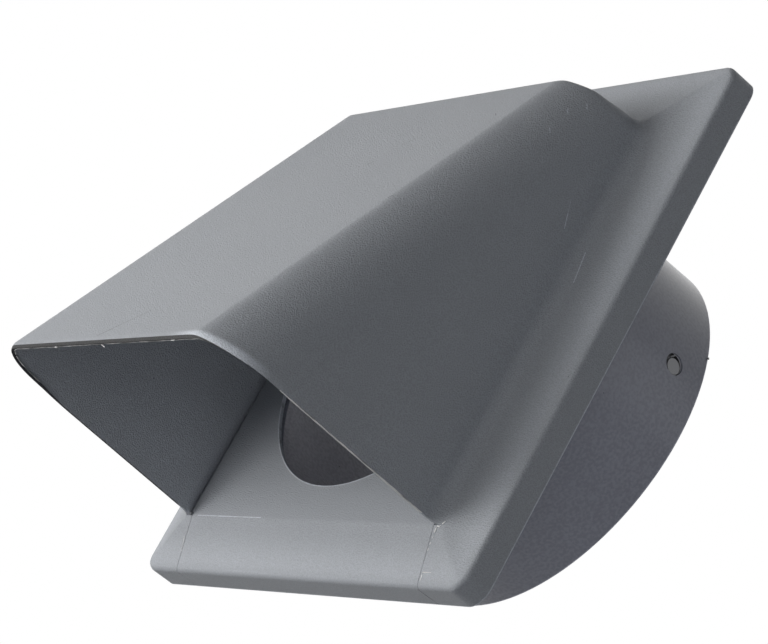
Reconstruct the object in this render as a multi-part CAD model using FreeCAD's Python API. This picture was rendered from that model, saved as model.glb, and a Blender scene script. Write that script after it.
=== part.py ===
"""Dryer vent cap: a drawn sheet-steel hood on a bevelled wall flange, with a duct collar and a damper.

Millimetres. The origin is on the collar's axis in the wall plane, +Z is up, the wall lies at Y = 0, the
hood stands out towards -Y and the collar runs into the wall towards +Y.
"""
import FreeCAD
import Part
import math
import os

Vector = FreeCAD.Vector
crosswise = Vector(1, 0, 0)
inward = Vector(0, 1, 0)

# Wall flange: a square frame with a turned-back rim and a bevelled face
flange_size = 144.0
flange_corner = 5.0
rim_depth = 7.1
bevel_slope = 0.264
bevel_edge_radius = 1.5
mitre_round = 4.0
sheet = 0.9

# Hood: side walls and a top wall with draft, rounded edges, and a front pressed flat
hood_half_width = 56.0
hood_top = 53.2
side_draft = 0.018
top_draft = 0.06
lip_reach = 80.7
lip_front_z = -53.9
lip_tip_z = -57.8
front_lean = 0.454
front_flat = 1.6
side_round = 16.5
top_round = 4.5
crease_bend = 3.0
cove_radius = 4.0

# Back plate: the folded sheet that closes the hood's back and the flange's bottom side
plate_sheet = 0.9
seam_gap = 0.15
panel_gap = 0.2
outlet_step = 1.7
plate_bend = 3.0
bend_margin = 1.0

# Collar for a nominal 4 inch duct
collar_diameter = 101.6
collar_sheet = 0.9
collar_reach = 39.3
collar_flange_width = 2.2
collar_bend = 3.0
bend_flats = 3

# Damper: a disc on a cross rod that hangs in two oversize holes of the collar
pivot_inset = 9.6
pivot_hole_z = 13.1
pivot_hole_diameter = 5.4
rod_diameter = 4.0
rod_play = 0.05
rod_recess = 0.1
blade_clearance = 2.4
blade_sheet = 0.6
strap_width = 9.0
strap_spacing = 30.0
strap_count = 3
stop_width = 10.0
stop_depth = 5.0
stop_gap = 0.3

# Reach of the forms that are trimmed later, and the distance within which two places are the same
overrun = 20.0
same_place = 1e-4


def polygon_prism(points, direction):
    """A straight prism over a closed polygon."""
    return Part.Face(Part.makePolygon(points + points[:1])).extrude(direction)


def solid_of(shape):
    """The one solid that a boolean leaves."""
    solids = shape.removeSplitter().Solids
    if len(solids) != 1:
        raise ValueError(f"expected one solid, found {len(solids)}")
    return solids[0]


def rounded_outline(left, right, bottom, top, radius, y):
    """A closed rectangle with round corners in the plane at depth y."""
    inset = radius * (1 - math.sqrt(0.5))
    corners = [(right, top, -1, -1), (left, top, 1, -1), (left, bottom, 1, 1), (right, bottom, -1, 1)]
    arcs = []
    for index, (x, z, dx, dz) in enumerate(corners):
        upright = Vector(x, y, z + dz * radius)
        middle = Vector(x + dx * inset, y, z + dz * inset)
        level = Vector(x + dx * radius, y, z)
        ends = (upright, level) if index % 2 == 0 else (level, upright)
        arcs.append(Part.Arc(ends[0], middle, ends[1]).toShape())
    edges = []
    for index, arc in enumerate(arcs):
        following = arcs[(index + 1) % len(arcs)]
        edges += [arc, Part.makeLine(arc.Vertexes[-1].Point, following.Vertexes[0].Point)]
    return Part.Wire(edges)


# Places worked out from the sizes above
flange_half = flange_size / 2
bevel_tilt = math.atan(bevel_slope)
root_depth = rim_depth + bevel_slope * (flange_half - hood_half_width)
panel_depth = rim_depth + bevel_slope * (flange_half + lip_tip_z)
lip_slope = (lip_front_z - lip_tip_z) / (lip_reach - root_depth)
form_low = -flange_half - overrun
crest_half = hood_top - 2 * top_round
collar_radius = collar_diameter / 2
bore_radius = collar_radius - collar_sheet
outlet_radius = bore_radius - outlet_step
blade_radius = bore_radius - blade_clearance
pivot_y = collar_reach - pivot_inset
rod_radius = rod_diameter / 2
rod_z = pivot_hole_z - pivot_hole_diameter / 2 + rod_radius + rod_play
blade_back_y = pivot_y - rod_radius - rod_play
slot_half = hood_half_width - sheet


def across(profile):
    """A prism across the whole width over a profile of (y, z) points."""
    return polygon_prism([Vector(-flange_size, y, z) for y, z in profile], Vector(2 * flange_size, 0, 0))


def flange_form(inset, low, back):
    """The wall flange as a solid: rim and bevels, drawn in by the inset and reaching down to low."""
    half = flange_half - inset
    edge_y = -rim_depth + inset * math.tan((math.pi / 2 - bevel_tilt) / 2)
    crest_y = edge_y - bevel_slope * (half - crest_half)
    outer_y = edge_y + bevel_slope * overrun

    def gable(first, last):
        """Two bevels with a flat crest between them, as (place, y) points that run past the rim."""
        run = half - crest_half
        left = [(first - overrun, back + overrun), (first - overrun, outer_y), (first + run, crest_y)]
        right = [(last - run, crest_y), (last + overrun, outer_y), (last + overrun, back + overrun)]
        return left + right

    bottom = low + inset
    outline = rounded_outline(-half, half, bottom, half, flange_corner - inset, back)
    block = Part.Face(outline).extrude(Vector(0, -flange_size, 0))
    upright = [Vector(x, y, low - overrun) for x, y in gable(-half, half)]
    sides = polygon_prism(upright, Vector(0, 0, flange_size + half - low))
    ends = across([(y, z) for z, y in gable(bottom, half)])
    form = solid_of(block.common(sides).common(ends))
    mitres = [
        e for e in form.Edges
        if e.BoundBox.YLength > same_place and e.BoundBox.YMin < crest_y + same_place
    ]
    form = form.makeFillet(mitre_round - inset, mitres)
    rim_edge = [
        e for e in form.Edges
        if e.BoundBox.YMax < edge_y + same_place and e.BoundBox.YMin > edge_y - bevel_slope * flange_corner
    ]
    return form.makeFillet(bevel_edge_radius - inset, rim_edge)


def front_y(z, offset):
    """Depth of the front panel at a height, moved out along its normal by the offset."""
    return -lip_reach - offset * math.hypot(1, front_lean) + front_lean * (z - lip_front_z)


def hood_block(inset, back):
    """The hood before its edges are rounded: flat walls up to a front that lies out by front_flat."""
    def half(y):
        return hood_half_width - inset + side_draft * (y + root_depth)

    def top(y):
        return hood_top - inset * math.hypot(1, top_draft) + top_draft * (y + root_depth)

    out = front_flat - inset
    front = front_y(form_low, out)
    plan = [(-half(back), back), (-half(front), front), (half(front), front), (half(back), back)]
    sides = polygon_prism([Vector(x, y, form_low) for x, y in plan], Vector(0, 0, 2 * flange_size))
    ridge_z = (top(front_y(0, out))) / (1 - top_draft * front_lean)
    profile = [(front, form_low), (back, form_low), (back, top(back)), (front_y(ridge_z, out), ridge_z)]
    return solid_of(sides.common(across(profile)))


def hood_form(inset, back):
    """The hood as a solid that reaches back through the flange and runs on below the lip."""
    def lies_on_front(edge, offset):
        return all(abs(v.Y - front_y(v.Z, offset)) < same_place for v in edge.Vertexes)

    block = hood_block(inset, back)
    uprights = [
        edge for edge in block.Edges
        if lies_on_front(edge, front_flat - inset) and edge.BoundBox.ZLength > flange_half
    ]
    rounded = block.makeFillet(side_round - inset, uprights)
    top_face = max(rounded.Faces, key=lambda face: face.CenterOfMass.z)
    ridge = [edge for edge in top_face.Edges if edge.CenterOfMass.y < back - same_place]
    rounded = rounded.makeFillet(top_round - inset, ridge)
    far = 2 * flange_size
    ahead = [(front_y(-far, -inset), -far), (front_y(far, -inset), far), (-2 * far, far), (-2 * far, -far)]
    pressed = solid_of(rounded.cut(across(ahead)))
    creases = [
        edge for edge in pressed.Edges
        if lies_on_front(edge, -inset) and edge.BoundBox.ZMax > form_low + same_place
    ]
    return pressed.makeFillet(crease_bend - inset, creases).Solids[0]


def drawn_form(inset, back):
    """Flange and hood as one solid with the cove between them, both running on below the lip."""
    ground = Part.makeBox(
        2 * flange_size, 2 * flange_size, 2 * flange_size, Vector(-flange_size, -flange_size, form_low)
    )
    flange = flange_form(inset, form_low - flange_half, back)
    form = solid_of(flange.common(ground).fuse(hood_form(inset, back)))

    root = [edge for edge in form.Edges if is_root(form, edge)]
    return form.makeFillet(cove_radius + inset, root).Solids[0]


def is_root(form, edge):
    """True where a hood wall meets the bevelled face."""
    middle = edge.valueAt((edge.FirstParameter + edge.LastParameter) / 2)
    if middle.y > -rim_depth or middle.z < form_low + same_place:
        return False
    tilts = []
    for face in form.ancestorsOfType(edge, Part.Face):
        u, v = face.Surface.parameter(middle)
        tilts.append(abs(face.normalAt(u, v).y))
    return min(tilts) < math.sin(bevel_tilt) and max(tilts) > math.cos(bevel_tilt) - same_place


def lip_side(limit_z):
    """The space between the lip's plane and a level above or below it."""
    def lip_z(y):
        return lip_tip_z - lip_slope * (y + root_depth)

    near, far = flange_size, -flange_size
    return across([(near, lip_z(near)), (near, limit_z), (far, limit_z), (far, lip_z(far))])


def make_hood_shell():
    """The drawn sheet: hood and border above the lip, and the border's two bottom corners below it."""
    hood = drawn_form(0, 0).common(lip_side(flange_size)).cut(drawn_form(sheet, overrun))
    border = flange_form(0, -flange_half, 0).cut(flange_form(sheet, -flange_half, overrun))
    slot_corner = Vector(-slot_half, -flange_half, -flange_size)
    slot = Part.makeBox(2 * slot_half, flange_size, flange_size, slot_corner)
    corners = border.common(lip_side(-flange_size)).cut(slot)
    return solid_of(hood.fuse(corners))


def make_back_plate():
    """A folded sheet: the panel with the outlet hole, the bottom bevel and the bottom rim."""
    panel_low = lip_tip_z + bend_margin
    panel_box = Part.makeBox(
        flange_size, plate_sheet, flange_size, Vector(-flange_half, -panel_depth, panel_low)
    )
    panel = panel_box.common(drawn_form(sheet + panel_gap, overrun))
    half = slot_half - seam_gap
    fold = plate_sheet * math.tan((math.pi / 2 - bevel_tilt) / 2)
    crease = plate_sheet * math.tan(bevel_tilt / 2)
    bends = [
        ((-panel_depth, lip_tip_z), plate_bend),
        ((-rim_depth, -flange_half), bevel_edge_radius),
        ((-rim_depth + fold, -flange_half + plate_sheet), bevel_edge_radius - plate_sheet),
        ((-panel_depth + plate_sheet, lip_tip_z + crease), plate_bend + plate_sheet),
    ]
    outer = [(-panel_depth, panel_low), bends[0][0], bends[1][0], (0, -flange_half)]
    inner = [(0, -flange_half + plate_sheet), bends[2][0], bends[3][0]]
    inner.append((plate_sheet - panel_depth, panel_low))
    strip = polygon_prism([Vector(-half, y, z) for y, z in outer + inner], Vector(2 * half, 0, 0))
    for (y, z), radius in bends:
        bend = [
            edge for edge in strip.Edges
            if all(math.hypot(v.Y - y, v.Z - z) < same_place for v in edge.Vertexes)
        ]
        strip = strip.makeFillet(radius, bend)
    folded = solid_of(panel.fuse(strip))
    outlet = Part.makeCylinder(outlet_radius, 2 * overrun, Vector(0, -panel_depth - overrun, 0), inward)
    return solid_of(folded.cut(outlet))


def make_tailpipe():
    """The rolled collar with its turned-out flange, pivot holes and the damper's stop tab."""
    front = plate_sheet - panel_depth
    hub = collar_radius + collar_bend
    bend_y = front + collar_sheet + collar_bend

    def bend(radius):
        corners = []
        for step in range(bend_flats + 1):
            turn = math.pi / 2 * step / bend_flats
            corners.append(Vector(hub - radius * math.cos(turn), bend_y - radius * math.sin(turn), 0))
        return corners

    flange_edge = hub + collar_flange_width
    section = [Vector(collar_radius, collar_reach, 0)]
    section += bend(collar_bend)
    section += [Vector(flange_edge, front + collar_sheet, 0), Vector(flange_edge, front, 0)]
    section += reversed(bend(collar_bend + collar_sheet))
    section += [Vector(bore_radius, collar_reach, 0)]
    outline = Part.makePolygon(section + section[:1])
    pipe = Part.Face(outline).revolve(Vector(0, 0, 0), inward, 360)
    pivot_start = Vector(-flange_size, pivot_y, pivot_hole_z)
    holes = Part.makeCylinder(pivot_hole_diameter / 2, 2 * flange_size, pivot_start, crosswise)
    stop_y = blade_back_y - blade_sheet - stop_gap - collar_sheet
    window = Part.makeBox(
        stop_width, stop_depth, collar_radius, Vector(-stop_width / 2, stop_y - stop_depth, 0)
    )
    tongue = Part.makeBox(
        stop_width, collar_sheet, stop_depth + collar_sheet,
        Vector(-stop_width / 2, stop_y, bore_radius - stop_depth),
    )
    inside = Part.makeCylinder(collar_radius, collar_reach, Vector(0, 0, 0), inward)
    return solid_of(pipe.cut(holes).cut(window).fuse(tongue.common(inside)))


def make_pivot_rod():
    """The cross rod, with ends that follow the collar's outside so that a duct slides over them."""
    start = Vector(-flange_half, pivot_y, rod_z)
    rod = Part.makeCylinder(rod_radius, flange_size, start, crosswise)
    ends = Part.makeCylinder(collar_radius - rod_recess, collar_reach, Vector(0, 0, 0), inward)
    return solid_of(rod.common(ends))


def make_damper_blade():
    """A flat disc with lanced straps that hold it on the rod."""
    front = Vector(0, blade_back_y - blade_sheet, 0)
    blade = Part.makeCylinder(blade_radius, blade_sheet, front, inward)
    for index in range(strap_count):
        x = (index - (strap_count - 1) / 2) * strap_spacing
        window, strap = lanced_strap(x)
        blade = blade.cut(window).fuse(strap)
    return solid_of(blade)


def lanced_strap(x):
    """The slot of one strap, and the strap that was pressed out of it round the rod."""
    def arch(radius, base_y):
        legs = Part.makeBox(
            strap_width, pivot_y - base_y, 2 * radius, Vector(x - strap_width / 2, base_y, rod_z - radius)
        )
        bow_start = Vector(x - strap_width / 2, pivot_y, rod_z)
        bow = Part.makeCylinder(radius, strap_width, bow_start, crosswise)
        return solid_of(legs.fuse(bow))

    base_y = blade_back_y - blade_sheet
    inside = arch(rod_radius + rod_play, base_y)
    outside = arch(rod_radius + rod_play + blade_sheet, base_y)
    return inside, outside.cut(inside)


def main():
    os.makedirs("parts", exist_ok=True)
    pieces = {
        "hood_shell": make_hood_shell(),
        "back_plate": make_back_plate(),
        "tailpipe": make_tailpipe(),
        "pivot_rod": make_pivot_rod(),
        "damper_blade": make_damper_blade(),
    }
    for name, shape in pieces.items():
        shape.exportStep(f"parts/{name}.step")


if __name__ == "__main__":
    main()
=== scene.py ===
"""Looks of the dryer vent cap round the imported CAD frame: coats, bare metal, wear, light and camera."""
import bmesh
import bpy
import math
from mathutils import Matrix, Vector


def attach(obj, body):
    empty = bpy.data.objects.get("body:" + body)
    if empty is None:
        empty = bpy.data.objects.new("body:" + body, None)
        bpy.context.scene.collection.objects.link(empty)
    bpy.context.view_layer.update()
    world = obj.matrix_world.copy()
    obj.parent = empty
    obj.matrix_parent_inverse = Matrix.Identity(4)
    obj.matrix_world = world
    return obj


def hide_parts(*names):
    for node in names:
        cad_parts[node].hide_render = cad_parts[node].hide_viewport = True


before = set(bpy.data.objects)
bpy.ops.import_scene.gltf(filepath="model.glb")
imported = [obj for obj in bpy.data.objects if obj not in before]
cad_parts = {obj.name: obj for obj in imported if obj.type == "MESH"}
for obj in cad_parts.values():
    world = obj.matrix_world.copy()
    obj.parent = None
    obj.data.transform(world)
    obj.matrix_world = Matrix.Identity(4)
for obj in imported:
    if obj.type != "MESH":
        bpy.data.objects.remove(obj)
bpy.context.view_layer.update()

MM = 0.001

# Camera: where it stands, which way is right and up in its picture, and its lens on a 36 mm wide sensor
CAMERA_PLACE = Vector((0.63315, -0.34321, -0.25469))
CAMERA_RIGHT = Vector((0.5418, 0.7024, 0.4616))
CAMERA_UP = Vector((0.0330, -0.5665, 0.8234))
CAMERA_LENS = 145.74
SENSOR_WIDTH = 36.0

# Hood sheet, as the solids have it: root, side walls, front panel, top wall and lip plane
SHEET = 0.9 * MM
ROOT_Y = -11.324 * MM
HALF_WIDTH = 56.0 * MM
SIDE_DRAFT = 0.018
SIDE_ROUND = 16.5 * MM
FRONT_FLAT = 1.6 * MM
FRONT_LEAN = 0.454
HOOD_TOP = 53.2 * MM
TOP_DRAFT = 0.06
LIP_FRONT = Vector((0, -80.7, -53.9)) * MM
LIP_TIP_Z = -57.8 * MM

# What pressing does to that sheet: a soft crease beside the panel, round top edges, a lip that rolls in.
# The top edge's radius changes with how far the wall faces sideways, and the roll comes in between two y
CREASE_RADIUS = 7.0 * MM
TOP_RADIUS_FRONT = 3.2 * MM
TOP_RADIUS_CORNER = 2.2 * MM
TOP_RADIUS_SIDE = 4.5 * MM
CORNER_TURN = (0.0, 0.5)
SIDE_TURN = (0.8, 1.0)
ROLL_RADIUS = 2.6 * MM
ROLL_HEIGHT = 2.0 * MM
ROLL_FADE = (-54.0 * MM, -68.0 * MM)
LEAST_ROLL = 0.001

# Plane in which the hood's mesh meets the border's, and how finely the hood's mesh is divided and solved
BORDER_Y = -15.5 * MM
SIDE_STEPS = 14
ROUND_STEPS = 18
CREASE_STEPS = 10
PANEL_STEPS = 30
ROLL_STEPS = 10
WALL_STEPS = 40
TOP_STEPS = 8
LIP_ROUNDS = 4
TOP_HALVINGS = 40
WELD = 0.001 * MM
SHARP_ANGLE = math.radians(35)

# Ears of the damper, round the rod
PIVOT_Y = 29.7 * MM
EAR_X = 46.2 * MM
EAR_Y = 27.9 * MM
EAR_Z = 12.45 * MM
EAR_RADIUS = 4.9 * MM
EAR_SHEET = 0.7 * MM
EAR_STEPS = 24
EAR_SOFT_EDGE = 0.15 * MM
EAR_SOFT_STEPS = 2

# Coats and metals
COAT_GREY = (0.335, 0.354, 0.388)
COLLAR_GREY = (0.305, 0.315, 0.376)
# Bare sheet inside the collar, lightened as painted light for the dark bore
BORE_LIT_GREY = (0.80, 0.79, 0.84)
STEEL_GREY = (0.56, 0.57, 0.58)
PIN_GREY = (0.16, 0.163, 0.171)
# The ears' dark grey is painted shade, so they read as a shadowed hole
EAR_SHADE_GREY = (0.10, 0.101, 0.106)
# The sheared edge's near-black grey is painted shade
RAW_EDGE_SHADE_GREY = (0.042, 0.043, 0.048)
BURR_GREY = (0.9, 0.9, 0.9)
WHITE = (1.0, 1.0, 1.0)

# Tone: how far grain, clouds and patches go from the plain colour, how many features they have a metre, and
# what they do to roughness; a range gives the noise levels between which pebbles or bare patches come up
GRAIN_TONES = (0.91, 1.09)
CLOUD_TONES = (0.95, 1.05)
STEEL_TONES = (0.8, 1.15)
RAW_TONES = (0.7, 1.3)
BURR_TONES = (0.75, 1.05)
CLOUD_SCALE = 45.0
PATCH_SCALE = 160.0
WAVER_SCALE = 500.0
STREAK_SCALE = 700.0
FINE_SCALE = 900.0
STEEL_DEPTH = 0.02 * MM
STEEL_ROUGHNESS = (0.35, 0.57)
COAT_ROUGHNESS_SPREAD = 0.05
PEBBLE_RANGE = (0.3, 0.7)
EDGE_RANGE = (0.36, 0.56)

# Worn coat and painted light on it: the tone of each kind against the coat's own, and how wide the marks and
# specks are
# Pale scratches, and the thin coat with a painted highlight on the rims' rear edges
PALE_TONE = 1.8
DARK_TONE = 0.45
# Painted highlight on the rolled strip round the lip's right corner
LIP_HIGHLIGHT_TONE = 1.9
# Painted highlight along the outer edge of the bevelled border
BORDER_HIGHLIGHT_TONE = 1.3
# Painted shade on the band along the front lip
LIP_SHADE_TONE = 0.04
PALE_WIDTH = 0.17 * MM
DARK_WIDTH = 0.26 * MM
MARK_FADE = (0.8, 1.4)
SPECK_SPACING = 7 * MM
SPECK_RADIUS = 0.22 * MM
SPECK_CORE = 0.6
SPECK_SHARE = 0.3

# Where those marks and painted light lie; a pair gives the places between which it comes in or fades out. The
# lip's end face is raw and painted dark as shade up to RAW_END_X, and thinly coated past it
OUTLET_RADIUS = 48.2 * MM
HOLE_FADE = (OUTLET_RADIUS + 0.15 * MM, OUTLET_RADIUS + 0.35 * MM)
HOLE_FRONT_Y = -11 * MM
# Where the bore's painted light begins
BARE_FADE = (50.2 * MM, 50.3 * MM)
RIM_FADE = 0.25 * MM
RIM_PATCHES = (0.3, 0.5)
RIM_LEAST = 0.4
# Where the painted highlight along the border's outer edge lies
BORDER_OUT = (60 * MM, 70 * MM)
BORDER_FADE_Y = (-8.0 * MM, -6.4 * MM)
# Where the painted highlight on the lip's rolled strip lies
LIP_HIGHLIGHT_HEIGHT = (1.3 * MM, 2.6 * MM)
LIP_HIGHLIGHT_X = (30 * MM, 46 * MM)
LIP_HIGHLIGHT_Y = (-62 * MM, -75 * MM)
# Where the painted shade along the front lip lies
LIP_SHADE_WIDTH = 0.75 * MM
LIP_SHADE_THIN_WIDTH = 0.15 * LIP_SHADE_WIDTH
LIP_SHADE_THIN_X = (40 * MM, 53 * MM)
LIP_SHADE_Y = (-60 * MM, -76 * MM)
LIP_SHADE_FADE = (-0.06 * MM, 0.06 * MM)
RAW_END_X = 47.0 * MM
# Faces of the lip's end face that are painted dark as shade
RAW_MATERIAL = 1
THIN_MATERIAL = 2

# Scratches in mm, from one end to the other: pale ones down to the primer and dark ones with dirt in them
PALE_MARKS = [
    ((55.44, -24.24, 37.5), (55.88, -18.2, 18.2)),
    ((57.56, -11.22, 16.2), (58.4, -10.73, 8.1)),
    ((52.46, -30.73, 43.7), (53.12, -30.32, 42.2)),
    ((53.49, -27.47, 47.3), (53.98, -27.04, 46.1)),
    ((53.19, -32.80, 36.5), (53.68, -32.37, 35.3)),
    ((-52.3, -10.85, -57.7), (-21.2, -10.85, -57.7)),
]
DARK_MARKS = [
    ((-3.1, -79.68, -51.7), (5.9, -75.32, -42.0)),
    ((38.2, -39.2, 37.6), (39.6, -39.7, 36.5)),
    ((13.2, -43.0, 29.2), (14.3, -42.7, 29.9)),
    ((8.5, -47.4, 19.5), (9.2, -46.9, 20.5)),
    ((44.7, -55.8, 0.8), (45.1, -55.3, 1.7)),
    ((54.6, -6.2, -72.0), (55.2, 0.0, -72.0)),
]

# Burrs in mm, a path and a radius each: bright flecks at the tips, on the seams and along the lip, one on an
# ear and one on the collar's rear edge
FLECKS = [
    ([(56.7, -10.9, -58.1), (57.6, -10.8, -58.2), (58.7, -10.75, -56.7)], 0.13),
    ([(56.6, -10.8, -58.4), (56.35, -10.5, -59.6)], 0.14),
    ([(56.1, -10.25, -60.3), (56.0, -10.1, -60.9)], 0.06),
    ([(55.8, -9.85, -61.7), (55.7, -9.7, -62.3)], 0.06),
    ([(55.5, -9.5, -63.0), (55.4, -9.3, -63.7)], 0.06),
    ([(55.9, -8.05, -68.5), (59.2, -8.08, -68.45)], 0.09),
    ([(55.9, -7.95, -69.0), (55.5, -7.1, -71.3)], 0.10),
    ([(-55.7, -9.45, -63.2), (-55.1, -8.4, -67.0)], 0.07),
    ([(-22.6, -79.3, -54.0), (-21.6, -79.3, -54.05)], 0.15),
    ([(0.6, -79.2, -54.0), (2.2, -78.8, -54.5)], 0.06),
    ([(33.6, -79.3, -53.95), (35.2, -79.3, -53.95)], 0.11),
]
EAR_BURR = ([(46.25, 29.6, 15.3), (46.25, 30.5, 16.2)], 0.15)
COLLAR_BURR = ([(46.3, 39.0, 21.1), (46.6, 39.3, 21.3)], 0.20)

# Beads along the lip's edges, and the form of every burr: sides, spacing of its rings, and the waves of its
# radius as height, pace and shift
LIP_BURR_RADIUS = 0.11 * MM
LIP_BURR_SKIP = 16
TIP_BURR_RADIUS = 0.08 * MM
BURR_SIDES = 5
BURR_SPACING = 0.8 * MM
BURR_WAVES = ((0.35, 1.7, 0.0), (0.25, 0.61, 1.0))

# Stage: lamps as azimuth and elevation in degrees, distance and size in metres, power in watts and colour
WARM = (1.0, 0.985, 0.955)
COOL = (0.95, 0.97, 1.0)
LAMPS = {
    "key": (247, -17, 0.6, 0.30, 2.00, WARM),
    "front": (273, -13, 0.5, 0.22, 0.60, WARM),
    "fill": (332, -25, 1.3, 0.7, 1.80, COOL),
    "right": (5, -42, 1.3, 0.7, 1.00, COOL),
    "rear_right": (30, 25, 1.3, 0.7, 0.8, COOL),
    "back": (90, 0, 1.3, 0.7, 3.0, COOL),
    "left": (180, 25, 1.3, 0.7, 0.7, COOL),
    "top": (270, 85, 1.3, 0.7, 0.3, COOL),
}
AMBIENT = 0.02
FLOOR_DROP = 1.2
FLOOR_SIZE = 8.0
FLOOR_GREY = (0.82, 0.82, 0.82)
FLOOR_GLOW = 0.75

# What follows from the hood's values
lean_length = math.hypot(1, FRONT_LEAN)
panel_normal = Vector((0, -1, FRONT_LEAN)) / lean_length
top_normal = Vector((0, -TOP_DRAFT, 1)).normalized()
lip_slope = (LIP_FRONT.z - LIP_TIP_Z) / (ROOT_Y - LIP_FRONT.y)
axis_depth = SIDE_ROUND - FRONT_FLAT
crease_start = math.sqrt((SIDE_ROUND - CREASE_RADIUS) ** 2 - (axis_depth - CREASE_RADIUS) ** 2)
crease_turn = math.asin(crease_start / (SIDE_ROUND - CREASE_RADIUS))


def make_material(name):
    """A material with a Principled shader, and its tree and shader to wire up."""
    material = bpy.data.materials.new(name)
    material.use_nodes = True
    tree = material.node_tree
    return material, tree, tree.nodes["Principled BSDF"]


def add_node(tree, kind, **settings):
    """A node with its properties set."""
    node = tree.nodes.new("ShaderNode" + kind)
    for key, value in settings.items():
        setattr(node, key, value)
    return node


def feed(tree, target, source):
    """Sets an input socket to a plain value, or links it to an output socket."""
    if isinstance(source, bpy.types.NodeSocket):
        tree.links.new(source, target)
    else:
        target.default_value = source


def own_place(tree):
    """The place on a piece, in its own coordinates."""
    return add_node(tree, "TexCoord").outputs["Object"]


def math_node(tree, operation, first, second=0.0, third=0.0, clamp=False):
    """The result of a sum on plain values or sockets."""
    node = add_node(tree, "Math", operation=operation, use_clamp=clamp)
    for socket, value in zip(node.inputs, (first, second, third)):
        feed(tree, socket, value)
    return node.outputs[0]


def noise(tree, place, scale, detail=2.0):
    """Noise between 0 and 1; the scale is in features per metre."""
    node = add_node(tree, "TexNoise")
    feed(tree, node.inputs["Vector"], place)
    node.inputs["Scale"].default_value = scale
    node.inputs["Detail"].default_value = detail
    return node.outputs["Fac"]


def spread(tree, value, low, high):
    """Maps 0 to 1 onto low to high."""
    node = add_node(tree, "MapRange")
    feed(tree, node.inputs["Value"], value)
    node.inputs["To Min"].default_value = low
    node.inputs["To Max"].default_value = high
    return node.outputs["Result"]


def ramp(tree, value, start, end, low, high):
    """Smooth step from low to high as the value goes from start to end."""
    node = add_node(tree, "MapRange", interpolation_type="SMOOTHSTEP")
    feed(tree, node.inputs["Value"], value)
    for socket, number in zip(("From Min", "From Max", "To Min", "To Max"), (start, end, low, high)):
        node.inputs[socket].default_value = number
    return node.outputs["Result"]


def shade(tree, colour, factor):
    """A colour made lighter or darker by a factor."""
    node = add_node(tree, "VectorMath", operation="SCALE")
    feed(tree, node.inputs[0], colour)
    feed(tree, node.inputs["Scale"], factor)
    return node.outputs["Vector"]


def bump(tree, height, distance):
    """A normal that follows a height between 0 and 1 over a distance in metres."""
    node = add_node(tree, "Bump")
    node.inputs["Strength"].default_value = 1.0
    node.inputs["Distance"].default_value = distance
    feed(tree, node.inputs["Height"], height)
    return node.outputs["Normal"]


def split(tree, place):
    """The x, y and z of a place."""
    axes = add_node(tree, "SeparateXYZ")
    feed(tree, axes.inputs[0], place)
    return axes.outputs


def radius_out(tree, axes):
    """Distance from the duct's axis."""
    upright = math_node(tree, "MULTIPLY", axes[2], axes[2])
    return math_node(tree, "SQRT", math_node(tree, "MULTIPLY_ADD", axes[0], axes[0], upright))


def over_lip(tree, axes):
    """Height over the plane of the lip."""
    level = math_node(tree, "MULTIPLY_ADD", axes[1], lip_slope, -lip_slope * ROOT_Y - LIP_TIP_Z)
    return math_node(tree, "ADD", axes[2], level)


def scratch(tree, place, start, end, width, waver):
    """1 on the uneven line between two points given in mm, 0 away from it."""
    start, end = Vector(start) * MM, Vector(end) * MM
    span = end - start
    from_start = add_node(tree, "VectorMath", operation="SUBTRACT")
    feed(tree, from_start.inputs[0], place)
    from_start.inputs[1].default_value = start
    along = add_node(tree, "VectorMath", operation="DOT_PRODUCT")
    feed(tree, along.inputs[0], from_start.outputs["Vector"])
    along.inputs[1].default_value = span / span.length_squared
    part = math_node(tree, "MULTIPLY", along.outputs["Value"], 1.0, clamp=True)
    distance = add_node(tree, "VectorMath", operation="DISTANCE")
    feed(tree, distance.inputs[0], from_start.outputs["Vector"])
    feed(tree, distance.inputs[1], shade(tree, span, part))
    uneven = math_node(tree, "MULTIPLY_ADD", waver, width, distance.outputs["Value"])
    return ramp(tree, uneven, MARK_FADE[0] * width, MARK_FADE[1] * width, 1.0, 0.0)


def all_marks(tree, place, marks, width, waver):
    """The scratches of a list as one mask."""
    mask = scratch(tree, place, *marks[0], width, waver)
    for start, end in marks[1:]:
        mask = math_node(tree, "MAXIMUM", mask, scratch(tree, place, start, end, width, waver))
    return mask


def specks(tree, place, spacing, radius, share):
    """Round specks of a radius in metres, in that share of the cells of a scattered grid."""
    cells = add_node(tree, "TexVoronoi")
    feed(tree, cells.inputs["Vector"], place)
    cells.inputs["Scale"].default_value = 1 / spacing
    spot = ramp(tree, cells.outputs["Distance"], SPECK_CORE * radius / spacing, radius / spacing, 1.0, 0.0)
    chance = add_node(tree, "SeparateColor")
    feed(tree, chance.inputs[0], cells.outputs["Color"])
    return math_node(tree, "MULTIPLY", spot, math_node(tree, "LESS_THAN", chance.outputs[0], share))


def rim_wear_and_highlight(tree, place, waver, rim_y):
    """1 at a rim's rear edge, behind rim_y, and round the outlet hole's front edge: the coat is thin there,
    and on the rims' rear edges this is also a painted highlight.
    """
    axes = split(tree, place)
    hole = ramp(tree, radius_out(tree, axes), *HOLE_FADE, 1.0, 0.0)
    hole = math_node(tree, "MULTIPLY", hole, math_node(tree, "GREATER_THAN", axes[1], HOLE_FRONT_Y))
    rim = ramp(tree, axes[1], rim_y, rim_y + RIM_FADE, 0.0, 1.0)
    edge = math_node(tree, "MAXIMUM", hole, rim)
    return math_node(tree, "MULTIPLY", edge, ramp(tree, waver, *RIM_PATCHES, RIM_LEAST, 1.0))


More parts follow.
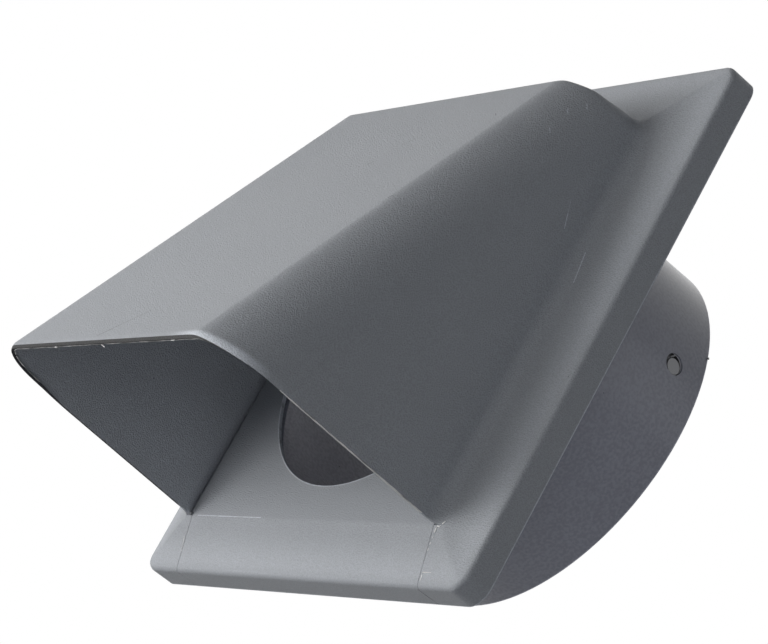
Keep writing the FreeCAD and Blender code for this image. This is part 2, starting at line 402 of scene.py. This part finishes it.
def border_edge_highlight(tree, place):
    """1 along the outer edge of the bevelled border, where a painted highlight makes the coat paler."""
    axes = split(tree, place)
    across = math_node(tree, "ABSOLUTE", axes[0])
    out = math_node(tree, "MAXIMUM", across, math_node(tree, "ABSOLUTE", axes[2]))
    front = ramp(tree, axes[1], *BORDER_FADE_Y, 1.0, 0.0)
    return math_node(tree, "MULTIPLY", ramp(tree, out, *BORDER_OUT, 0.0, 1.0), front)


def lip_strip_highlight(tree, place):
    """1 on the rolled strip round the right corner of the front lip, where a painted highlight makes the coat
    pale.
    """
    axes = split(tree, place)
    strip = ramp(tree, over_lip(tree, axes), *LIP_HIGHLIGHT_HEIGHT, 1.0, 0.0)
    strip = math_node(tree, "MULTIPLY", ramp(tree, axes[1], *LIP_HIGHLIGHT_Y, 0.0, 1.0), strip)
    return math_node(tree, "MULTIPLY", strip, ramp(tree, axes[0], *LIP_HIGHLIGHT_X, 0.0, 1.0))


def lip_shade_band(tree, place):
    """1 on the band along the front lip that is painted dark as shade; it thins out round the right corner."""
    axes = split(tree, place)
    width = ramp(tree, axes[0], *LIP_SHADE_THIN_X, LIP_SHADE_WIDTH, LIP_SHADE_THIN_WIDTH)
    width = math_node(tree, "MULTIPLY", width, ramp(tree, axes[1], *LIP_SHADE_Y, 0.0, 1.0))
    inside = math_node(tree, "SUBTRACT", width, over_lip(tree, axes))
    inside = ramp(tree, inside, *LIP_SHADE_FADE, 0.0, 1.0)
    return math_node(tree, "MULTIPLY", inside, math_node(tree, "LESS_THAN", axes[1], LIP_SHADE_Y[0]))


def bore_with_painted_light(tree, place, grey):
    """The coat's grey, and the lighter grey of the bare sheet inside the collar, lightened further as painted
    light.
    """
    inside = ramp(tree, radius_out(tree, split(tree, place)), *BARE_FADE, 1.0, 0.0)
    both = add_node(tree, "VectorMath", operation="ADD")
    both.inputs[0].default_value = grey
    feed(tree, both.inputs[1], shade(tree, Vector(BORE_LIT_GREY) - Vector(grey), inside))
    return both.outputs["Vector"]


def powder_coat(name, grey, roughness, gloss, grain, depth, rim_y, bore=False):
    """Fine-textured powder coat: a pebbled satin skin, uneven tone, scratches, specks, worn edges, painted
    highlights and painted shade.
    """
    material, tree, shader = make_material(name)
    place = own_place(tree)
    pebble = ramp(tree, noise(tree, place, 1 / grain, detail=1.0), *PEBBLE_RANGE, 0.0, 1.0)
    cloud = noise(tree, place, CLOUD_SCALE, detail=3.0)
    waver = noise(tree, place, WAVER_SCALE)
    pale = all_marks(tree, place, PALE_MARKS, PALE_WIDTH, waver)
    # Pale rims: thin coat, with a painted highlight on the rear edges
    pale = math_node(tree, "MAXIMUM", pale, rim_wear_and_highlight(tree, place, waver, rim_y))
    dark = all_marks(tree, place, DARK_MARKS, DARK_WIDTH, waver)
    dirt = specks(tree, place, SPECK_SPACING, SPECK_RADIUS, SPECK_SHARE)
    dark = math_node(tree, "MAXIMUM", dark, dirt)
    # Pale and dark marks, painted highlights and painted shade
    marks_and_light = [
        (pale, PALE_TONE),
        (dark, DARK_TONE),
        (lip_strip_highlight(tree, place), LIP_HIGHLIGHT_TONE),
        (border_edge_highlight(tree, place), BORDER_HIGHLIGHT_TONE),
        (lip_shade_band(tree, place), LIP_SHADE_TONE),
    ]
    tone = math_node(tree, "MULTIPLY", spread(tree, pebble, *GRAIN_TONES), spread(tree, cloud, *CLOUD_TONES))
    for mask, mark_tone in marks_and_light:
        tone = math_node(tree, "MULTIPLY", tone, spread(tree, mask, 1.0, mark_tone))
    colour = bore_with_painted_light(tree, place, grey) if bore else grey
    feed(tree, shader.inputs["Base Color"], shade(tree, colour, tone))
    rough = (roughness - COAT_ROUGHNESS_SPREAD, roughness + COAT_ROUGHNESS_SPREAD)
    feed(tree, shader.inputs["Roughness"], spread(tree, cloud, *rough))
    feed(tree, shader.inputs["Normal"], bump(tree, pebble, depth))
    shader.inputs["Specular IOR Level"].default_value = gloss
    return material


def bare_steel(name, grey, metal):
    """Galvanised sheet: metal with a dull, patchy bloom."""
    material, tree, shader = make_material(name)
    place = own_place(tree)
    patch = noise(tree, place, PATCH_SCALE)
    shader.inputs["Metallic"].default_value = metal
    feed(tree, shader.inputs["Base Color"], shade(tree, grey, spread(tree, patch, *STEEL_TONES)))
    feed(tree, shader.inputs["Roughness"], spread(tree, patch, *STEEL_ROUGHNESS))
    feed(tree, shader.inputs["Normal"], bump(tree, noise(tree, place, FINE_SCALE), STEEL_DEPTH))
    return material


def shaded_raw_edge(name):
    """The sheared edge of the sheet: dull and streaky, and painted dark as shade."""
    material, tree, shader = make_material(name)
    streak = noise(tree, own_place(tree), STREAK_SCALE, detail=3.0)
    feed(tree, shader.inputs["Base Color"], shade(tree, RAW_EDGE_SHADE_GREY, spread(tree, streak, *RAW_TONES)))
    shader.inputs["Roughness"].default_value = 0.8
    shader.inputs["Specular IOR Level"].default_value = 0.1
    return material


def worn_edge(name, low, high):
    """Bare metal that shows through the coat along a cut edge, in a tone between low and high."""
    material, tree, shader = make_material(name)
    patch = noise(tree, own_place(tree), PATCH_SCALE, detail=4.0)
    tone = ramp(tree, patch, *EDGE_RANGE, low, high)
    feed(tree, shader.inputs["Base Color"], shade(tree, WHITE, tone))
    shader.inputs["Roughness"].default_value = 0.45
    return material


def bright_metal(name):
    """Freshly bared metal of a burr."""
    material, tree, shader = make_material(name)
    patch = noise(tree, own_place(tree), FINE_SCALE)
    feed(tree, shader.inputs["Base Color"], shade(tree, BURR_GREY, spread(tree, patch, *BURR_TONES)))
    shader.inputs["Roughness"].default_value = 0.4
    return material


def dress(node, material):
    """Gives a CAD node its material."""
    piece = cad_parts[node]
    piece.data.materials.clear()
    piece.data.materials.append(material)


def finish_mesh(name, bm, materials, body):
    """Turns a bmesh into a smooth-shaded piece that rides on a body."""
    for face in bm.faces:
        face.smooth = True
    for edge in bm.edges:
        edge.smooth = len(edge.link_faces) != 2 or edge.calc_face_angle() < SHARP_ANGLE
    mesh = bpy.data.meshes.new(name)
    for material in materials:
        mesh.materials.append(material)
    bm.to_mesh(mesh)
    bm.free()
    piece = bpy.data.objects.new(name, mesh)
    bpy.context.collection.objects.link(piece)
    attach(piece, body)
    return piece


def fade(value, start, end):
    """0 at the start, 1 at the end, and smooth between."""
    part = min(1.0, max(0.0, (value - start) / (end - start)))
    return part * part * (3 - 2 * part)


def contour():
    """The hood's outline from left to right: side walls, roundings, creases and panel.

    Each column is its zone, its place in that zone and its side. The place is a share of the length on a side
    wall or the panel, and an angle on a rounding or crease.
    """
    half = [("side", step / SIDE_STEPS, 1) for step in range(SIDE_STEPS)]
    span = math.pi / 2 - crease_turn
    half += [("round", math.pi / 2 - span * step / ROUND_STEPS, 1) for step in range(ROUND_STEPS)]
    half += [("crease", crease_turn * (1 - step / CREASE_STEPS), 1) for step in range(CREASE_STEPS)]
    panel = [("panel", 2 * step / PANEL_STEPS - 1, 1) for step in range(PANEL_STEPS + 1)]
    return [(zone, place, -1) for zone, place, side in half] + panel + half[::-1]


def half_width(y):
    """Half the hood's width between its side walls."""
    return HALF_WIDTH + SIDE_DRAFT * (y - ROOT_Y)


def on_wall(column, z):
    """The point of the hood's outer wall in one column at a height, and the wall's normal there."""
    zone, place, side = column
    front_y = LIP_FRONT.y + FRONT_LEAN * (z - LIP_FRONT.z)
    if zone == "side":
        y = BORDER_Y + (front_y + axis_depth * lean_length - BORDER_Y) * place
        return Vector((side * half_width(y), y, z)), Vector((side, -SIDE_DRAFT, 0)).normalized()
    if zone == "panel":
        across = half_width(front_y) - SIDE_ROUND + crease_start
        return Vector((place * across, front_y, z)), panel_normal.copy()
    if zone == "round":
        across = SIDE_ROUND * math.sin(place)
        out = SIDE_ROUND * math.cos(place) - axis_depth
    else:
        across = crease_start + CREASE_RADIUS * math.sin(place)
        out = CREASE_RADIUS * (math.cos(place) - 1)
    y = front_y - out * lean_length
    normal = panel_normal * math.cos(place) + Vector((side * math.sin(place), 0, 0))
    return Vector((side * (half_width(y) - SIDE_ROUND + across), y, z)), normal


def lip_level(column):
    """Height of the lip plane in one column."""
    z = LIP_FRONT.z
    for _ in range(LIP_ROUNDS):
        z = LIP_TIP_Z - lip_slope * (on_wall(column, z)[0].y - ROOT_Y)
    return z


def top_start(column, radius):
    """Height at which the wall of one column turns into the rounded top edge."""
    low, high = LIP_FRONT.z, 2 * HOOD_TOP
    top_point = Vector((0, ROOT_Y, HOOD_TOP))
    for _ in range(TOP_HALVINGS):
        z = (low + high) / 2
        point, normal = on_wall(column, z)
        if (point - normal * radius - top_point).dot(top_normal) < -radius:
            low = z
        else:
            high = z
    return low


def top_radius(sideways):
    """Radius of the top edge where the wall faces sideways by that share."""
    radius = TOP_RADIUS_FRONT + (TOP_RADIUS_CORNER - TOP_RADIUS_FRONT) * fade(sideways, *CORNER_TURN)
    return radius + (TOP_RADIUS_SIDE - TOP_RADIUS_CORNER) * fade(sideways, *SIDE_TURN)


def hood_column(column):
    """Points and normals of one column of the hood's outer face, from the rolled lip up to the top wall."""
    start_z = lip_level(column) + ROLL_HEIGHT
    start, normal = on_wall(column, start_z)
    inward = -normal
    down = (Vector((0, 0, -1)) - inward * Vector((0, 0, -1)).dot(inward)).normalized()
    length = ROLL_HEIGHT / -down.z
    bend = max(fade(start.y, *ROLL_FADE), LEAST_ROLL) / ROLL_RADIUS
    points = []
    for step in range(ROLL_STEPS, 0, -1):
        turn = bend * length * step / ROLL_STEPS
        move = (down * math.sin(turn) + inward * (1 - math.cos(turn))) / bend
        points.append((start + move, normal * math.cos(turn) + down * math.sin(turn)))
    radius = top_radius(abs(normal.x))
    end_z = top_start(column, radius)
    for step in range(WALL_STEPS + 1):
        points.append(on_wall(column, start_z + (end_z - start_z) * step / WALL_STEPS))
    edge, normal = points[-1]
    for step in range(1, TOP_STEPS + 1):
        aim = normal.slerp(top_normal, step / TOP_STEPS)
        points.append((edge + (aim - normal) * radius, aim))
    return points


def make_hood(materials):
    """The hood in front of the border as one closed sheet, of coat, raw edge and thinly coated edge.

    Gives back its lip's outer and inner edge, from left to right.
    """
    columns = [hood_column(column) for column in contour()]
    bm = bmesh.new()
    outer = [[bm.verts.new(point) for point, normal in column] for column in columns]
    inner = [[bm.verts.new(point - normal * SHEET) for point, normal in column] for column in columns]
    for sheet_end in (outer[0], outer[-1], inner[0], inner[-1]):
        for vertex in sheet_end:
            vertex.co.y = BORDER_Y
    for faces, turned in ((outer, False), (inner, True)):
        for left, right in zip(faces, faces[1:]):
            for low in range(len(left) - 1):
                corners = (left[low], right[low], right[low + 1], left[low + 1])
                bm.faces.new(corners[::-1] if turned else corners)
        cap = [column[-1] for column in faces]
        bm.faces.new(cap[::-1] if turned else cap)
    for left in range(len(columns) - 1):
        face = bm.faces.new((outer[left][0], inner[left][0], inner[left + 1][0], outer[left + 1][0]))
        is_raw = outer[left][0].co.x < RAW_END_X
        face.material_index = RAW_MATERIAL if is_raw else THIN_MATERIAL
    for end in (0, -1):
        for low in range(len(columns[0]) - 1):
            bm.faces.new((outer[end][low], outer[end][low + 1], inner[end][low + 1], inner[end][low]))
    bm.faces.new((outer[0][-1], outer[-1][-1], inner[-1][-1], inner[0][-1]))
    bmesh.ops.recalc_face_normals(bm, faces=bm.faces)
    hood = finish_mesh("hood", bm, materials, "cap")
    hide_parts("hood_shell")
    outer_edge = [column[0][0] for column in columns]
    return outer_edge, [point - column[0][1] * SHEET for point, column in zip(outer_edge, columns)]


def make_border(material):
    """The bevelled border with its rim and the root of the hood, from a copy of the sheet's mesh."""
    bm = bmesh.new()
    bm.from_mesh(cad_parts["hood_shell"].data)
    bmesh.ops.remove_doubles(bm, verts=bm.verts, dist=WELD)
    parts = bm.verts[:] + bm.edges[:] + bm.faces[:]
    plane = {"plane_co": (0, BORDER_Y, 0), "plane_no": (0, -1, 0)}
    bmesh.ops.bisect_plane(bm, geom=parts, dist=WELD, clear_outer=True, **plane)
    bmesh.ops.edgeloop_fill(bm, edges=[edge for edge in bm.edges if len(edge.link_faces) == 1])
    for face in bm.faces:
        face.material_index = 0
    border = finish_mesh("hood_border", bm, [material], "cap")
    weights = border.modifiers.new("flat_faces", "WEIGHTED_NORMAL")
    weights.keep_sharp = True
    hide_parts("hood_shell")


def burr_points(path):
    """A path with points added at an even spacing."""
    points = []
    for start, end in zip(path, path[1:]):
        count = max(1, round((end - start).length / BURR_SPACING))
        points += [start.lerp(end, step / count) for step in range(count)]
    return points + [path[-1]]


def make_burr(name, path, radius, material, body="cap"):
    """A thin uneven bead of bare metal along a path."""
    points = burr_points(path)
    bm = bmesh.new()
    rings = []
    for index, point in enumerate(points):
        along = (points[min(index + 1, len(points) - 1)] - points[max(index - 1, 0)]).normalized()
        first = along.orthogonal().normalized()
        second = along.cross(first)
        waves = sum(height * math.sin(pace * index + shift) for height, pace, shift in BURR_WAVES)
        size = radius * (1 + waves)
        ring = []
        for side in range(BURR_SIDES):
            turn = 2 * math.pi * side / BURR_SIDES
            ring.append(bm.verts.new(point + size * (first * math.cos(turn) + second * math.sin(turn))))
        rings.append(ring)
    for ring, following in zip(rings, rings[1:]):
        for side in range(BURR_SIDES):
            after = (side + 1) % BURR_SIDES
            bm.faces.new((ring[side], ring[after], following[after], following[side]))
    bm.faces.new(rings[0][::-1])
    bm.faces.new(rings[-1])
    bmesh.ops.recalc_face_normals(bm, faces=bm.faces)
    finish_mesh(name, bm, [material], body)


def make_fleck(name, fleck, material, body="cap"):
    """A burr from a path and a radius in mm."""
    path, radius = fleck
    make_burr(name, [Vector(point) * MM for point in path], radius * MM, material, body)


def make_ear(name, side, material):
    """The ear of the damper blade on one side: a half-round tab that the rod runs through."""
    outline = [(EAR_Y, EAR_Z - EAR_RADIUS)]
    for step in range(EAR_STEPS + 1):
        turn = math.pi * (step / EAR_STEPS - 0.5)
        outline.append((PIVOT_Y + EAR_RADIUS * math.cos(turn), EAR_Z + EAR_RADIUS * math.sin(turn)))
    outline.append((EAR_Y, EAR_Z + EAR_RADIUS))
    bm = bmesh.new()
    inner = [bm.verts.new((side * (EAR_X - EAR_SHEET), y, z)) for y, z in outline]
    outer = [bm.verts.new((side * EAR_X, y, z)) for y, z in outline]
    bm.faces.new(inner)
    bm.faces.new(outer[::-1])
    for index in range(len(outline)):
        after = (index + 1) % len(outline)
        bm.faces.new((inner[index], outer[index], outer[after], inner[after]))
    bmesh.ops.recalc_face_normals(bm, faces=bm.faces)
    ear = finish_mesh(name, bm, [material], "damper")
    soft = ear.modifiers.new("soft_edges", "BEVEL")
    soft.width = EAR_SOFT_EDGE
    soft.segments = EAR_SOFT_STEPS


def make_camera():
    """The camera at the photograph's viewing angle."""
    data = bpy.data.cameras.new("camera")
    data.lens = CAMERA_LENS
    data.sensor_width = SENSOR_WIDTH
    camera = bpy.data.objects.new("camera", data)
    back = CAMERA_RIGHT.cross(CAMERA_UP)
    turn = Matrix((CAMERA_RIGHT, CAMERA_UP, back)).transposed()
    camera.matrix_world = Matrix.Translation(CAMERA_PLACE) @ turn.to_4x4()
    bpy.context.collection.objects.link(camera)
    bpy.context.scene.camera = camera


def make_lamp(name, azimuth, elevation, distance, size, power, colour):
    """A square soft box that faces the object, from an azimuth and elevation in degrees."""
    data = bpy.data.lights.new(name, "AREA")
    data.shape = "SQUARE"
    data.size = size
    data.energy = power
    data.color = colour
    lamp = bpy.data.objects.new(name, data)
    around, up = math.radians(azimuth), math.radians(elevation)
    way = Vector((math.cos(around) * math.cos(up), math.sin(around) * math.cos(up), math.sin(up)))
    lamp.location = way * distance
    lamp.rotation_euler = way.to_track_quat("Z", "Y").to_euler()
    bpy.context.collection.objects.link(lamp)


def is_seen(tree):
    """1 for rays from the camera and for what mirrors and glass show, 0 for light on the object."""
    path = add_node(tree, "LightPath")
    seen = math_node(tree, "MAXIMUM", path.outputs["Is Camera Ray"], path.outputs["Is Glossy Ray"])
    return math_node(tree, "MAXIMUM", seen, path.outputs["Is Transmission Ray"])


def make_floor():
    """A pale floor, well below the object and the camera, with a glow that brings it near to white."""
    bpy.ops.mesh.primitive_plane_add(size=FLOOR_SIZE, location=(0, 0, -FLOOR_DROP))
    floor = bpy.context.object
    floor.name = "floor"
    material, tree, shader = make_material("floor_pale")
    shader.inputs["Base Color"].default_value = (*FLOOR_GREY, 1)
    shader.inputs["Roughness"].default_value = 0.9
    shader.inputs["Emission Color"].default_value = (*WHITE, 1)
    feed(tree, shader.inputs["Emission Strength"], spread(tree, is_seen(tree), 0.0, FLOOR_GLOW))
    floor.data.materials.append(material)


def make_world():
    """A white surround for the eye and for reflections, which lights the object at the ambient level."""
    world = bpy.data.worlds.new("surround")
    world.use_nodes = True
    bpy.context.scene.world = world
    tree = world.node_tree
    background = tree.nodes["Background"]
    background.inputs["Color"].default_value = (*WHITE, 1)
    feed(tree, background.inputs["Strength"], spread(tree, is_seen(tree), AMBIENT, 1.0))


bpy.context.scene.view_settings.view_transform = "Standard"

coat = powder_coat("powder_coat", COAT_GREY, roughness=0.50, gloss=0.25,
                   grain=0.34 * MM, depth=0.07 * MM, rim_y=-0.40 * MM)
# The collar's bore gets a lighter grey as painted light
collar_coat = powder_coat("collar_coat", COLLAR_GREY, roughness=0.22, gloss=0.30,
                          grain=0.8 * MM, depth=0.01 * MM, rim_y=38.9 * MM, bore=True)
steel = bare_steel("bare_steel", STEEL_GREY, metal=0.4)
pin_steel = bare_steel("pin_steel", PIN_GREY, metal=0.5)
# Ears painted dark as shade
ear_steel_shaded = bare_steel("ear_steel_shaded", EAR_SHADE_GREY, metal=1.0)
# The lip's end face, painted dark as shade
raw = shaded_raw_edge("shaded_raw_edge")
thin = worn_edge("thin_edge", low=0.36, high=0.50)
worn = worn_edge("worn_edge", low=0.20, high=0.80)
bright = bright_metal("bright_metal")

dress("hood_shell", coat)
lip_outer, lip_inner = make_hood([coat, raw, thin])
make_border(coat)
make_burr("lip_burr", lip_inner[LIP_BURR_SKIP:-LIP_BURR_SKIP], LIP_BURR_RADIUS, worn)
make_burr("tip_burr", lip_outer[-SIDE_STEPS:], TIP_BURR_RADIUS, worn)
for index, fleck in enumerate(FLECKS):
    make_fleck(f"fleck_{index:02d}", fleck, bright)
make_ear("ear_left", -1, ear_steel_shaded)
make_ear("ear_right", 1, ear_steel_shaded)
make_fleck("ear_burr", EAR_BURR, bright, "damper")
make_fleck("collar_burr", COLLAR_BURR, worn)
dress("back_plate", coat)
dress("tailpipe", collar_coat)
dress("pivot_rod", pin_steel)
dress("damper_blade", steel)

make_camera()
for name, setting in LAMPS.items():
    make_lamp(name, *setting)
make_floor()
make_world()
